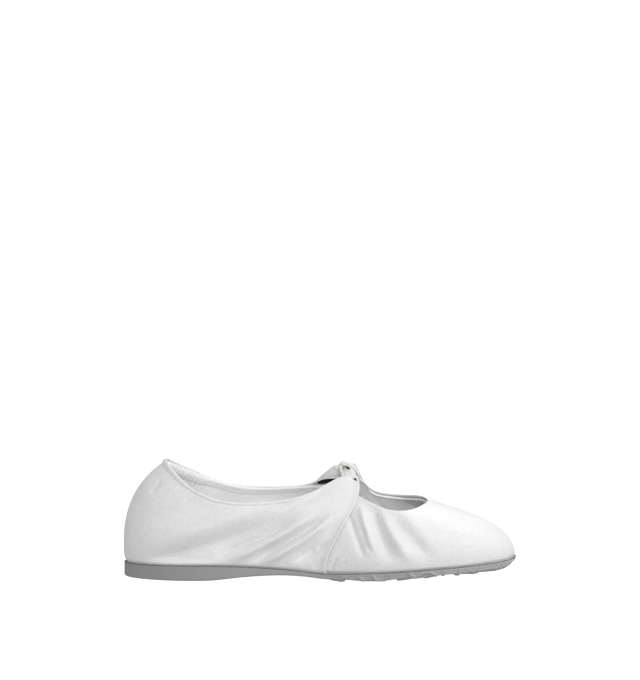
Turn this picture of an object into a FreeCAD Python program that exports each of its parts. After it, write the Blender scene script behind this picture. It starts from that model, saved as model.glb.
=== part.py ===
"""A right-foot ballet slipper with a knotted instep, in millimetres.

The toe points along +X, the wearer's left (medial side) is +Y and +Z is up. The origin is under the
middle of the whole shoe, on the floor. The upper is built from two nets of profile curves: the quarter,
which wraps the heel and rises to the knot, and the vamp, which wraps the toe and rises to the same knot
from inside. Each profile is a cubic Bezier curve from the feather line, where the upper meets the sole,
to the topline. Every layer is an offset of a net.
"""

import FreeCAD
import Part
import math
import os

V = FreeCAD.Vector

# ---------------------------------------------------------------- driving sizes
LEATHER = 1.1            # outer leather
LINING = 0.8             # lining leather
STIFFENER = 0.9          # toe puff and heel counter
PLY_GAP = 0.08           # glue line between two plies
WALL_INSET = LEATHER + STIFFENER + LINING + 4 * PLY_GAP

MARGIN_WIDTH = 11.0      # lasting margin turned under the insole board
MARGIN_START = 0.3       # the margin begins this far inside the feather line
MARGIN_SEAM = (3.5, 4.5)  # along X: the quarter's margin ends, the vamp's begins
BOARD = 1.5              # insole board
FOAM = 2.6               # footbed foam
SOCK = 0.9               # sock lining
STACK_CLEARANCE = 0.4    # between the stacked layers' edges and the lining
SHANK_WIDTH, SHANK_THICK = 13.0, 1.0
SHANK_ENDS = (-106.0, 6.0)
FILLER_INSET = MARGIN_WIDTH + 1.5
FILLER_START = SHANK_ENDS[1] + 3.0

SOLE_OVERHANG = 0.2      # the sole stands out this far beyond the feather line
SOLE_ROUNDING = 1.6      # along its lower edge
LUG_HEIGHT = 1.5         # tread lugs below the sole's base
LUG_ROOT = 0.6           # lugs reach this far up into the base
LUG_WIDTH = 2.4
LUG_INSET = 0.6          # from the feather line
BALL_RINGS = {"centre": (38.0, -4.0), "first": 3.0, "pitch": 8.6, "count": 7, "from_x": 4.0, "to_x": 79.0}
TOE_RINGS = {"centre": (99.0, 2.0), "first": 2.0, "pitch": 6.2, "count": 5, "from_x": 85.0, "to_x": 128.0}

FACING_THICK = 0.7       # band turned in along a topline
STITCH_RADIUS = 0.22
STITCH_LIFT = 0.3        # the thread's centre above the facing
ELASTIC_RADIUS = 0.8
ELASTIC_DEPTH = 1.5      # below the outer face of the topline

# ---------------------------------------------------------------- feather line in plan, lateral side first
FEATHER = [
    (-124.0, 0.0), (-119.5, -12.5), (-106.0, -22.5), (-86.0, -27.5), (-62.0, -28.0), (-38.0, -27.5),
    (-14.0, -29.0), (10.0, -33.5), (34.0, -38.5), (58.0, -41.0), (82.0, -38.5), (102.0, -31.0),
    (116.0, -19.5), (123.0, -5.5), (123.0, 9.5), (115.5, 22.5), (100.0, 31.0), (80.0, 36.0),
    (58.0, 38.5), (36.0, 36.5), (14.0, 31.0), (-10.0, 25.5), (-34.0, 23.0), (-60.0, 24.0),
    (-84.0, 26.0), (-105.0, 22.0), (-119.0, 12.5),
]
ROUND = len(FEATHER)     # feather stations in one turn
TOE = ROUND / 2.0        # the station at the toe's point

# heights along X: the feather line, and the bottom of the sole without its lugs
FEATHER_Z = [(-126, 9.1), (-90, 9.5), (-58, 9.2), (-32, 8.0), (-12, 6.4), (2, 5.2), (16, 5.4), (32, 6.2),
             (51, 7.4), (70, 8.8), (89, 10.0), (108, 11.2), (118, 12.0), (126, 13.1)]
BOTTOM_Z = [(-126, -0.8), (-98, -0.8), (-78, -0.6), (-66, 0.3), (-54, 1.8), (-40, 3.0), (-22, 3.6),
            (-8, 2.9), (4, 1.7), (18, 1.3), (34, 1.5), (50, 2.5), (70, 4.1), (90, 5.4), (107, 6.4),
            (118, 7.6), (126, 9.8)]

# ---------------------------------------------------------------- quarter net, from the knot to the heel
# feather station, then the profile's two handles, from the feather and from the topline, and its top
QUARTER_STATIONS = [6.75, 6.22, 5.55, 4.7, 3.75, 2.9, 1.95, 1.0, 0.0]
QUARTER_LOW = [(-3, -5.0, 20), (0, -4.5, 18), (0, -4.5, 16), (0, -4.5, 15), (0, -4.5, 15), (0, -4.5, 16),
               (-3, -4.0, 18), (-3.6, -2.5, 22), (-3.2, 0, 27)]
QUARTER_HIGH = [(8, -15.5, -13), (4, -15, -12), (0, -11, -14), (0, -6, -15), (0, -4.5, -15), (-1, -5, -17),
                (-7, -8, -18), (-16.8, -6, -17), (-23.4, 0, -15)]
QUARTER_TOP_LATERAL = [(23.6, -8.5, 63.6), (12, -12, 63.4), (-5, -19.5, 56), (-28, -25, 51.2),
                       (-51, -26, 50.3), (-68, -23.5, 55.3), (-82, -17.5, 62.8), (-92.5, -9.5, 69.8),
                       (-97.5, 0, 73.8)]
QUARTER_TOP_MEDIAL = [(20, 7.5, 65.0), (9.5, 11.5, 65.5), (-4, 18.3, 57.4), (-28, 24, 53.3),
                      (-51, 25, 54.0), (-68, 23, 58.7), (-82, 17.5, 65.3), (-92.5, 9.5, 70.9),
                      (-97.5, 0, 73.8)]

# ---------------------------------------------------------------- vamp net, from the knot to the toe
VAMP_STATIONS = [6.4, 7.0, 7.6, 8.2, 8.8, 9.5, 10.3, 11.2, 12.3, TOE]
VAMP_LOW = [(0, -3.5, 18), (0, -4, 18), (0, -4.5, 17), (0, -4.5, 16), (0, -4.5, 15), (0, -4.5, 15),
            (0.5, -4.2, 15), (1.8, -3.8, 16), (3.2, -2.2, 17.8), (4.0, 0, 18.9)]
VAMP_HIGH = [(-1, -7, -10), (0, -7, -10), (1.5, -7.5, -10.5), (3, -8, -11), (4.5, -9, -11),
             (6.5, -10.5, -10.5), (12, -10.5, -9.8), (19, -9, -9.7), (25.5, -4.8, -10.1), (29.5, 0, -10.3)]
VAMP_TOP_LATERAL = [(8, -10, 59.5), (14.5, -12.5, 58.2), (21, -15.5, 55.2), (27, -18.6, 51.9),
                    (33.5, -22.3, 48.9), (41.5, -25.3, 46), (50.5, -25.8, 44.6), (60, -21, 45.2),
                    (66.7, -11.5, 47), (69.5, 0, 48.4)]
VAMP_TOP_MEDIAL = [(7, 15, 53.5), (13, 12.5, 58.0), (20, 9.2, 63.0), (25.8, 9, 63.2), (29.5, 14.5, 57.2),
                   (36, 20, 51.6), (46, 22.4, 49.3), (56, 20.3, 48.9), (65, 12.5, 49.3), (69.5, 0, 48.4)]
WING_TUCK = 1.7          # the vamp's wings start this far inside the quarter
WING_TUCK_ENDS = (0.04, 0.16)  # between these values of s the tuck runs out

# ---------------------------------------------------------------- what part of a net each layer covers
WALL_FOOT = 0.015        # t where the leather starts
LINING_FOOT = 0.03
# a stiffener's s range, then its t at the foot, at the ends and in the middle
COUNTER_S, COUNTER_T = (0.30, 0.70), (0.03, 0.34, 0.58)
PUFF_S, PUFF_T = (0.36, 0.64), (0.03, 0.30, 0.48)
QUARTER_LINING_S, QUARTER_LINING_TOP = (0.13, 0.87), 0.965
VAMP_LINING_S, VAMP_LINING_TOP = (0.03, 0.97), 0.985
LINING_SEAM, LINING_SEAM_GAP = 0.375, 0.002
TOPLINE_FACING_S, TOPLINE_FACING_T = (0.14, 0.86), (0.88, 0.962)
THROAT_FACING_S, THROAT_FACING_T = (0.21, 0.79), (0.90, 0.982)
ELASTIC_S, ELASTIC_T = (0.33, 0.67), 0.985
TOPLINE_STITCH_S, TOPLINE_STITCH_T = (0.15, 0.85), 0.90
THROAT_STITCH_S, THROAT_STITCH_T = (0.22, 0.78), 0.92

# ---------------------------------------------------------------- knot
STRAP_PATH = [(19.4, -5.8, 61.0), (19.1, -4.7, 64.0), (18.6, -2.4, 66.0), (18.0, 0.4, 66.7),
              (17.2, 3.4, 66.5), (16.0, 6.2, 65.4)]
STRAP_WIDE, STRAP_HIGH = 6.6, 4.4
LOOP_PATH = [(25.2, 3.6, 61.8), (24.0, 2.4, 65.0), (22.4, 1.2, 67.7), (20.5, 0.4, 69.6), (18.2, 0, 71.1),
             (15.9, 0, 71.8), (14.2, 0, 70.8), (13.5, 0, 69.0), (13.6, 0, 66.6)]
LOOP_WIDE, LOOP_THICK = 10.0, 3.0

# ---------------------------------------------------------------- blanks that layers are cut from
BLANK_X, BLANK_Y, BLANK_LOW, BLANK_HIGH = 135.0, 60.0, -30.0, 90.0


# ---------------------------------------------------------------- curves
def spline(knots, values):
    """The natural cubic spline through values at the knots, as a function."""
    n = len(knots)
    step = [knots[i + 1] - knots[i] for i in range(n - 1)]
    rise = [(values[i + 1] - values[i]) / step[i] for i in range(n - 1)]
    bend = [0.0] * n
    share = [0.0] * n
    for i in range(1, n - 1):
        pivot = 2 * (step[i - 1] + step[i]) - step[i - 1] * share[i - 1]
        share[i] = step[i] / pivot
        bend[i] = (6 * (rise[i] - rise[i - 1]) - step[i - 1] * bend[i - 1]) / pivot
    for i in range(n - 2, 0, -1):
        bend[i] -= share[i] * bend[i + 1]

    def at(x):
        i = 0
        while i < n - 2 and x > knots[i + 1]:
            i += 1
        h, a, b = step[i], knots[i + 1] - x, x - knots[i]
        return ((bend[i] * a ** 3 + bend[i + 1] * b ** 3) / (6 * h)
                + (values[i] / h - bend[i] * h / 6) * a + (values[i + 1] / h - bend[i + 1] * h / 6) * b)

    return at


def curve(knots, points):
    """A spline through points of two or three coordinates."""
    parts = [spline(knots, [p[k] for p in points]) for k in range(len(points[0]))]
    return lambda x: [f(x) for f in parts]


def closed(points, lap=4):
    """A closed spline through points, one unit of its parameter per point."""
    n = len(points)
    ring = curve(list(range(-lap, n + lap)), [points[i % n] for i in range(-lap, n + lap)])
    return lambda u: ring(u % n)


def spread(first, last, count):
    """count evenly spaced numbers from first to last."""
    return [first + (last - first) * i / (count - 1) for i in range(count)]


def smooth(x):
    x = max(0.0, min(1.0, x))
    return x * x * (3 - 2 * x)


feather_z = spline(*zip(*FEATHER_Z))
bottom_z = spline(*zip(*BOTTOM_Z))
feather_plan = closed(FEATHER)


def outward(u, step=0.05):
    """The plan normal of the feather line at station u, pointing away from the shoe."""
    a, b = feather_plan(u - step), feather_plan(u + step)
    long = math.hypot(b[0] - a[0], b[1] - a[1])
    return (b[1] - a[1]) / long, (a[0] - b[0]) / long


def feather(u, inset=0.0):
    """A point of the feather line, moved in by inset."""
    x, y = feather_plan(u)
    nx, ny = outward(u)
    x, y = x - nx * inset, y - ny * inset
    return V(x, y, feather_z(x))


# ---------------------------------------------------------------- nets
def mirrored(rows):
    return [(x, -y, z) for x, y, z in rows]


def make_net(stations, low, high, lateral, medial, heel_first, tuck=None):
    """A function of s from 0 (lateral end) to 1 (medial end) and t from 0 (feather) to 1 (topline)."""
    turn_back = [-u for u in stations] if heel_first else [ROUND - u for u in stations]
    u_all = stations + turn_back[-2::-1]
    tops = lateral + medial[-2::-1]
    lows = low + mirrored(low)[-2::-1]
    highs = high + mirrored(high)[-2::-1]
    knots = spread(0.0, 1.0, len(u_all))
    station = spline(knots, u_all)
    top, lower, upper = curve(knots, tops), curve(knots, lows), curve(knots, highs)

    def at(s, t):
        foot = feather(station(s), tuck(s) if tuck else 0.0)
        head = V(*top(s))
        p1, p2 = foot + V(*lower(s)), head + V(*upper(s))
        r = 1 - t
        return foot * r ** 3 + p1 * (3 * t * r * r) + p2 * (3 * t * t * r) + head * t ** 3

    return at


def vamp_tuck(s):
    """The vamp's wings lie inside the quarter's, so they start further in."""
    first, last = WING_TUCK_ENDS
    return WING_TUCK * (1 - smooth((min(s, 1 - s) - first) / (last - first)))


quarter_net = make_net(QUARTER_STATIONS, QUARTER_LOW, QUARTER_HIGH, QUARTER_TOP_LATERAL,
                       QUARTER_TOP_MEDIAL, True)
vamp_net = make_net(VAMP_STATIONS, VAMP_LOW, VAMP_HIGH, VAMP_TOP_LATERAL, VAMP_TOP_MEDIAL, False,
                    vamp_tuck)
INWARD = {quarter_net: 1.0, vamp_net: -1.0}  # which way each net's normal points into the shoe


def offset_point(net, s, t, depth, step=1e-3):
    """The net's point moved into the shoe by depth along its normal."""
    across = net(min(1, s + step), t) - net(max(0, s - step), t)
    along = net(s, min(1, t + step)) - net(s, max(0, t - step))
    normal = across.cross(along)
    normal.normalize()
    return net(s, t) + normal * (depth * INWARD[net])


# ---------------------------------------------------------------- solids
def skin(rows):
    surface = Part.BSplineSurface()
    surface.interpolate(rows)
    return surface


def solid_between(front, back):
    """The solid between two grids of points of the same shape."""
    a, b = skin(front), skin(back)
    faces = [a.toShape(), b.toShape()]
    u0, u1, v0, v1 = a.bounds()
    x0, x1, y0, y1 = b.bounds()
    for one, two in [(a.uIso(u0), b.uIso(x0)), (a.uIso(u1), b.uIso(x1)),
                     (a.vIso(v0), b.vIso(y0)), (a.vIso(v1), b.vIso(y1))]:
        faces.append(Part.makeRuledSurface(one.toShape(), two.toShape()))
    shell = Part.makeShell(faces)
    shell.sewShape()
    solid = Part.makeSolid(shell)
    if solid.Volume < 0:
        solid.reverse()
    return solid


def ply(net, s_range, foot, top, depth, thick, columns, rows):
    """A layer of the net, thick at a depth below its outer face. top and depth are functions of s."""
    def grid(extra):
        made = []
        for s in spread(*s_range, columns + 1):
            inward = depth(s) + extra
            made.append([offset_point(net, s, t, inward) for t in spread(foot, top(s), rows + 1)])
        return made

    return solid_between(grid(0.0), grid(thick))


def same(value):
    """The function that is value everywhere."""
    return lambda s: value


def plan_prism(inset):
    """The upright prism on the feather line moved in by inset."""
    ring = Part.BSplineCurve()
    points = [feather(u * 0.5, inset) for u in range(2 * ROUND)]
    ring.interpolate([V(p.x, p.y, BLANK_LOW) for p in points], PeriodicFlag=True)
    face = Part.Face(Part.Wire([ring.toShape()]))
    return face.extrude(V(0, 0, BLANK_HIGH - BLANK_LOW))


def slab(low, high, x_from=-BLANK_X, x_to=BLANK_X, half_width=BLANK_Y):
    """The solid between two height functions of X, straight across the shoe."""
    def line(height):
        made = Part.BSplineCurve()
        made.interpolate([V(x, -half_width, height(x)) for x in spread(x_from, x_to, 41)])
        return made.toShape()

    ends = [Part.makeLine(V(x, -half_width, low(x)), V(x, -half_width, high(x))) for x in (x_from, x_to)]
    face = Part.Face(Part.Wire(Part.__sortEdges__([line(low), line(high)] + ends)))
    return face.extrude(V(0, 2 * half_width, 0))


def above(height, rise):
    return lambda x: height(x) + rise


def block(x_from, x_to, half_width=BLANK_Y, low=BLANK_LOW, high=BLANK_HIGH):
    return Part.makeBox(x_to - x_from, 2 * half_width, high - low, V(x_from, -half_width, low))


def band(points, wide, high, across, squareness, sections=16):
    """A strip along points, wide in the direction of across and high at right angles to it.

    Its section is an ellipse where squareness is 2, and nearer a rectangle above that.
    """
    path = curve(spread(0.0, 1.0, len(points)), points)
    around = 16
    look = 0.3 / sections
    wires = []
    for q in spread(0.0, 1.0, sections + 1):
        ahead = (V(*path(min(1, q + look))) - V(*path(max(0, q - look)))).normalize()
        side = (across - ahead * across.dot(ahead)).normalize()
        up = ahead.cross(side)
        outline = []
        for k in range(around):
            c, d = math.cos(2 * math.pi * k / around), math.sin(2 * math.pi * k / around)
            x = math.copysign(abs(c) ** (2 / squareness), c) * wide / 2
            y = math.copysign(abs(d) ** (2 / squareness), d) * high / 2
            outline.append(V(*path(q)) + side * x + up * y)
        ring = Part.BSplineCurve()
        ring.interpolate(outline, PeriodicFlag=True)
        wires.append(Part.Wire([ring.toShape()]))
    return Part.makeLoft(wires, True, False)


def cord(points, radius):
    """A round cord along points: straight runs joined by tangent arcs."""
    edges = []
    start = points[0]
    for before, corner, after in zip(points, points[1:], points[2:]):
        arriving = (corner - before) * (1 / corner.distanceToPoint(before))
        leaving = (after - corner) * (1 / after.distanceToPoint(corner))
        cut = 0.45 * min(corner.distanceToPoint(before), after.distanceToPoint(corner))
        half_turn = arriving.getAngle(leaving) / 2
        bend = leaving - arriving
        to_arc = cut / math.tan(half_turn) * (1 / math.cos(half_turn) - 1)
        arc_start, arc_end = corner - arriving * cut, corner + leaving * cut
        edges.append(Part.LineSegment(start, arc_start).toShape())
        edges.append(Part.Arc(arc_start, corner + bend * (to_arc / bend.Length), arc_end).toShape())
        start = arc_end
    edges.append(Part.LineSegment(start, points[-1]).toShape())
    circle = Part.Circle(points[0], points[1] - points[0], radius)
    return Part.Wire(edges).makePipeShell([Part.Wire([circle.toShape()])], True, False)


# ---------------------------------------------------------------- bottom
def ring_ribs(tread, centre, first, pitch, count, from_x, to_x):
    """The tread's round ribs about one centre, between two places along X."""
    foot, tall = V(*centre, BLANK_LOW), BLANK_HIGH - BLANK_LOW
    ribs = []
    for k in range(count):
        r = first + pitch * k
        rib = Part.makeCylinder(r + LUG_WIDTH / 2, tall, foot)
        if r > LUG_WIDTH:
            rib = rib.cut(Part.makeCylinder(r - LUG_WIDTH / 2, tall, foot))
        ribs.append(rib)
    return tread.common(block(from_x, to_x)).common(Part.makeCompound(ribs)).Solids


def outsole():
    """The moulded unit sole: a low heel, a thin waist and a ribbed forefoot that turns up at the toe."""
    base = plan_prism(-SOLE_OVERHANG).common(slab(bottom_z, feather_z)).Solids[0]
    edges = [e for e in base.Edges if e.BoundBox.XLength > 100]
    lower_edges = [e for e in edges if e.BoundBox.ZMax < feather_z(-BLANK_X) + 0.5]
    base = base.makeFillet(SOLE_ROUNDING, lower_edges)
    tread = slab(above(bottom_z, -LUG_HEIGHT), above(bottom_z, LUG_ROOT)).common(plan_prism(LUG_INSET))
    lugs = ring_ribs(tread, **BALL_RINGS) + ring_ribs(tread, **TOE_RINGS)
    whole = base.fuse(lugs).removeSplitter()
    return whole.cut(block(-BLANK_X, BLANK_X, high=0))


def shank(rise):
    """The spring steel strip in the waist, with round ends."""
    half = SHANK_WIDTH / 2
    first, last = SHANK_ENDS
    outline = block(first + half, last - half, half)
    for x in (first + half, last - half):
        outline = outline.fuse(Part.makeCylinder(half, BLANK_HIGH - BLANK_LOW, V(x, 0, BLANK_LOW)))
    return slab(above(feather_z, rise), above(feather_z, rise + SHANK_THICK)).common(outline)


def bottom_stack():
    """The layers between the sole and the foot, from the lasting margins up."""
    glue = PLY_GAP
    margin = LEATHER + glue
    filler = slab(above(feather_z, glue), above(feather_z, margin - 2 * glue))
    filler = filler.common(plan_prism(FILLER_INSET)).common(block(FILLER_START, BLANK_X))
    made = {"shank": shank(glue), "bottom_filler": filler}
    outline = plan_prism(WALL_INSET + STACK_CLEARANCE)
    rise = margin
    for name, thick in (("insole_board", BOARD), ("footbed_foam", FOAM), ("sock_lining", SOCK)):
        made[name] = outline.common(slab(above(feather_z, rise), above(feather_z, rise + thick)))
        rise += thick + glue
    return made


# ---------------------------------------------------------------- upper
def with_margin(wall, x_from, x_to):
    """The leather wall joined to its lasting margin, which turns in under the insole board."""
    ring = plan_prism(MARGIN_START).cut(plan_prism(MARGIN_WIDTH))
    layer = slab(above(feather_z, PLY_GAP / 2), above(feather_z, LEATHER), x_from, x_to)
    return wall.fuse(ring.common(layer).Solids).removeSplitter()


def lining_depth(s_range, ramp=0.05):
    """How deep the lining's outer face lies: deeper over the stiffener, which covers s_range."""
    def at(s):
        share = smooth((s - s_range[0]) / ramp + 1) * smooth((s_range[1] - s) / ramp + 1)
        return LEATHER + PLY_GAP + (STIFFENER + PLY_GAP) * share

    return at


def facing_depth(s_range):
    """How deep a facing's outer face lies, on the lining."""
    lining = lining_depth(s_range)
    return lambda s: lining(s) + LINING + PLY_GAP


def stiffener(net, s_range, heights):
    """The toe puff or the heel counter: highest in the middle of its net, lower towards its ends."""
    foot, end, middle = heights
    reach = (s_range[1] - s_range[0]) / 2 * 0.85

    def top(s):
        return end + (middle - end) * smooth(1 - abs(s - 0.5) / reach)

    return ply(net, s_range, foot, top, same(LEATHER + PLY_GAP), STIFFENER, 24, 6)


def quarter_parts():
    wall = ply(quarter_net, (0.0, 1.0), WALL_FOOT, same(1.0), same(0.0), LEATHER, 56, 10)
    lining = ply(quarter_net, QUARTER_LINING_S, LINING_FOOT, same(QUARTER_LINING_TOP),
                 lining_depth(COUNTER_S), LINING, 48, 9)
    return {"quarter": with_margin(wall, -BLANK_X, MARGIN_SEAM[0]),
            "heel_counter": stiffener(quarter_net, COUNTER_S, COUNTER_T),
            "quarter_lining": lining}


def vamp_parts():
    wall = ply(vamp_net, (0.0, 1.0), WALL_FOOT, same(1.0), same(0.0), LEATHER, 60, 10)
    made = {"vamp": with_margin(wall, MARGIN_SEAM[1], BLANK_X),
            "toe_puff": stiffener(vamp_net, PUFF_S, PUFF_T)}
    first, last = VAMP_LINING_S
    seams = (LINING_SEAM - LINING_SEAM_GAP, LINING_SEAM + LINING_SEAM_GAP)
    pieces = {"lateral": (first, seams[0], 26), "toe": (seams[1], 1 - seams[1], 20),
              "medial": (1 - seams[0], last, 26)}
    for side, (start, end, columns) in pieces.items():
        made["vamp_lining_" + side] = ply(vamp_net, (start, end), LINING_FOOT, same(VAMP_LINING_TOP),
                                          lining_depth(PUFF_S), LINING, columns, 9)
    return made


def stitch_line(net, s_range, t, depth, count=21):
    rise = FACING_THICK + STITCH_LIFT
    return [offset_point(net, s, t, depth(s) + rise) for s in spread(*s_range, count)]


def toplines():
    """The facings turned along both toplines, the elastic in the heel's, and the rows of stitches."""
    made = {}
    for name, net, covered, s_range, (foot, top), stitch_s, stitch_t in (
            ("topline", quarter_net, COUNTER_S, TOPLINE_FACING_S, TOPLINE_FACING_T,
             TOPLINE_STITCH_S, TOPLINE_STITCH_T),
            ("throat", vamp_net, PUFF_S, THROAT_FACING_S, THROAT_FACING_T,
             THROAT_STITCH_S, THROAT_STITCH_T)):
        depth = facing_depth(covered)
        made[name + "_facing"] = ply(net, s_range, foot, same(top), depth, FACING_THICK, 40, 4)
        made[name + "_stitching"] = cord(stitch_line(net, stitch_s, stitch_t, depth), STITCH_RADIUS)
    elastic = [offset_point(quarter_net, s, ELASTIC_T, ELASTIC_DEPTH) for s in spread(*ELASTIC_S, 13)]
    made["heel_elastic"] = cord(elastic, ELASTIC_RADIUS)
    return made


def knot():
    """The gathered strap across the instep and the leather loop that holds it."""
    return {"instep_strap": band(STRAP_PATH, STRAP_WIDE, STRAP_HIGH, V(1, 0, 0), 2.0),
            "knot_loop": band(LOOP_PATH, LOOP_WIDE, LOOP_THICK, V(0, 1, 0), 3.0)}


# ---------------------------------------------------------------- everything
def build():
    parts = {"outsole": outsole()}
    for group in (bottom_stack(), quarter_parts(), vamp_parts(), toplines(), knot()):
        parts.update(group)
    whole = Part.makeCompound(list(parts.values())).optimalBoundingBox(False, False)
    shift = V(-(whole.XMin + whole.XMax) / 2, -(whole.YMin + whole.YMax) / 2, -whole.ZMin)
    print("moved to the origin by", [round(c, 3) for c in shift])
    os.makedirs("parts", exist_ok=True)
    for name, shape in parts.items():
        shape.translate(shift)
        solids = shape.Solids
        good = all(s.isValid() and s.Volume > 0 for s in solids)
        print(f"{name:22s} solids {len(solids)} volume {shape.Volume:10.1f} valid {good}")
        out = solids[0] if len(solids) == 1 else Part.makeCompound(solids)
        out.exportStep(f"parts/{name}.step")


build()
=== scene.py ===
"""Visual model of a soft leather ballet slipper with a knotted instep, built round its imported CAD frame."""
import math

import bpy
import bmesh
import mathutils
import numpy as np
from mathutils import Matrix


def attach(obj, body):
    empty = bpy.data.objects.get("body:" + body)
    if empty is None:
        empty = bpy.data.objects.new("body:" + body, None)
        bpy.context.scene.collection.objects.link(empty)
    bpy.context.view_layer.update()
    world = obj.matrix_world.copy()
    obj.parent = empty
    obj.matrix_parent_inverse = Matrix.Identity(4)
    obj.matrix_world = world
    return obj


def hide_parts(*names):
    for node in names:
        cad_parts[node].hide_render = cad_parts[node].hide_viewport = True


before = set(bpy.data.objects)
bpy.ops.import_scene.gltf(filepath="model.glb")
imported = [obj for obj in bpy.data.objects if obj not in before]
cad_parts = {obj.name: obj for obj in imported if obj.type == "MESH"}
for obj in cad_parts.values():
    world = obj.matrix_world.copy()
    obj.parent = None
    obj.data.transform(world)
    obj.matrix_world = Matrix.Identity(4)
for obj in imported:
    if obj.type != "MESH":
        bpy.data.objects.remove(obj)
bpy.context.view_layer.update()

MM = 0.001
TO_ROW = np.array([0.263, 1.369, 0.0])  # where the drawing's origin lies in the row frame, in mm
ELEVATION = math.radians(8.0)  # of the camera above level
TILT = math.tan(ELEVATION)  # in that side view a point stands at w = z + y * TILT

# -------- sizes, in mm
LEATHER = 1.3
LINING = 0.8
TOPLINE_FACING, THROAT_FACING = 2.0, 1.5  # both bands are folded double
# thickness of the black sheets that paint shadow into the gaps beside and inside the knot
SHADOW_SHEET = 0.3
STIFFENER = 0.8
ELASTIC_WIDTH = 1.6
FACING_TOP = 0.4  # how far the topline's facing starts below the topline
FACING_HEIGHT = 3.4  # how far it reaches down in front of the heel
TUNNEL = 6.6  # and over the elastic, at the heel
HEEL_REACH = 0.20  # in s either side of the heel: where the elastic gathers the topline
FRONT_RUN = 640.0  # mm of the quarter's width, at half height, for one unit of s near its front edges
SEAM = 0.357  # s of the seam between the throat's side and toe linings
SEAM_GAP = 0.001  # half of the gap at that seam, in s
LINING_DEPTH = 2.3  # the linings' outer face, below the leather's outer face
LINING_FOOT = 0.03  # t at which the linings start
QUARTER_LINING_TOP, VAMP_LINING_TOP = 1.6, 1.9  # how far they end below the toplines
TOPLINE_FACING_DEPTH, THROAT_FACING_DEPTH = 1.45, 1.75  # the facings' outer faces
THROAT_FACING_TOP, THROAT_FACING_FOOT = 1.5, 2.75  # the throat's facing, below its topline
TOPLINE_STITCH = {"pitch": 1.9, "length": 1.25, "radius": 0.19}
THROAT_STITCH = {"pitch": 2.6, "length": 2.0, "radius": 0.22}
TOPLINE_STITCH_PLACE = (1.3, 3.5)  # below the topline, and below the outer face
THROAT_STITCH_PLACE = (3.5, 3.15)
FOOT_TUCK = (1.3, 0.022)  # how far the leather turns in at its foot, and over which part of t
FOLD_DEPTH = 1.35  # scales every fold

# -------- the drawing, in mm
FEATHER = [
    (-124, 0), (-119.5, -12.5), (-106, -22.5), (-86, -27.5), (-62, -28), (-38, -27.5),
    (-14, -29), (10, -33.5), (34, -38.5), (58, -41), (82, -38.5), (102, -31),
    (116.8, -19.5), (124.3, -5.5), (124.3, 9.5), (116.3, 22.5), (100, 31), (80, 36),
    (58, 38.5), (36, 36.5), (14, 31), (-10, 25.5), (-34, 23), (-60, 24),
    (-84, 26), (-105, 22), (-119, 12.5),
]
ROUND = len(FEATHER)
TOE = ROUND / 2.0
FEATHER_Z = [(-126, 9.1), (-90, 9.5), (-58, 9.2), (-32, 8), (-12, 6.4), (2, 5.2), (16, 5.4), (32, 6.2),
             (51, 7.4), (70, 8.8), (89, 10), (108, 11), (118, 11.6), (126, 12.2)]
BOTTOM_Z = [(-126, 0), (-98, 0), (-78, 0), (-66, 0.5), (-54, 1.8), (-40, 3), (-22, 3.6), (-8, 2.9),
            (4, 1.8), (18, 1.7), (34, 1.9), (50, 3.1), (70, 5), (90, 6.1), (107, 6.8), (118, 7.9),
            (126, 10)]

QUARTER_STATIONS = [6.75, 6.22, 5.55, 4.7, 3.75, 2.9, 1.95, 1, 0]
QUARTER_LOW = [(-3, -5, 20), (0, -4.5, 18), (0, -4.5, 16), (0, -4.5, 15), (0, -4.5, 15), (0, -4.5, 16),
               (-3, -4, 18), (-3.6, -2.5, 22), (-3.2, 0, 27)]
QUARTER_HIGH = [(8, -15.5, -13), (4, -15, -12), (0, -11, -14), (0, -6, -15), (0, -4.5, -15), (-1, -5, -17),
                (-7, -8, -18), (-16.8, -6, -17), (-23.4, 0, -15)]
QUARTER_TOP_LATERAL = [
    (23.6, -8.5, 63.6), (12, -12, 63.4), (-5, -19.5, 55.3), (-28, -25, 50.1), (-51, -26, 49.2),
    (-68, -23.5, 51.8), (-82, -17.5, 58.2), (-92.5, -9.5, 67.4), (-97.5, 0, 73.8)]
QUARTER_TOP_MEDIAL = [
    (20, 7.5, 67), (9.5, 11.5, 67.6), (-4, 18.3, 57), (-28, 24, 53.3), (-51, 25, 54),
    (-68, 23, 58.7), (-82, 17.5, 65.3), (-92.5, 9.5, 70.9), (-97.5, 0, 73.8)]
# under the knot the lining's medial edge stays low, clear of the leather that rises to the loop
LINING_TOP_MEDIAL = [(21.5, 10.5, 58.6), (9.5, 13.2, 57.6), (-4, 18.2, 56)] + QUARTER_TOP_MEDIAL[3:]
VAMP_STATIONS = [6.4, 7, 7.6, 8.2, 8.8, 9.5, 10.3, 11.2, 12.3, TOE]
VAMP_LOW = [(0, -3.5, 18), (0, -4, 18), (0, -4.5, 17), (0, -4.5, 16), (0, -4.5, 15), (0, -4.5, 15),
            (0.5, -4.2, 15), (1.4, -3.8, 16.8), (-1.6, -2.2, 19.8), (-1.5, 0, 21.5)]
VAMP_HIGH = [(-1, -7, -10), (0, -7, -10), (1.5, -7.5, -10.5), (3, -8, -11), (4.5, -9, -11),
             (6.5, -10.5, -10.5), (12, -10.5, -9.8), (19.2, -9, -9.5), (24.2, -4.8, -9.6), (27.4, 0, -9.7)]
VAMP_TOP_LATERAL = [(8, -10, 59.5), (14.5, -12.5, 58.2), (21, -15.5, 55.2), (27, -18.6, 51.9),
                    (33.5, -22.3, 48.9), (41.5, -25.3, 46), (50.5, -25.8, 44.6), (60, -21, 45.2),
                    (66.7, -11.5, 47), (69.5, 0, 48.4)]
VAMP_TOP_MEDIAL = [
    (7, 14, 53.5), (13, 10, 58.5), (20.6, 6.1, 70.9), (25.6, 9.4, 65.3), (29.5, 15.2, 57.5),
    (36, 20, 51.6), (46, 22.4, 49.3), (56, 20.3, 48.9), (65, 12.5, 49.3), (69.5, 0, 48.4)]


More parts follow.
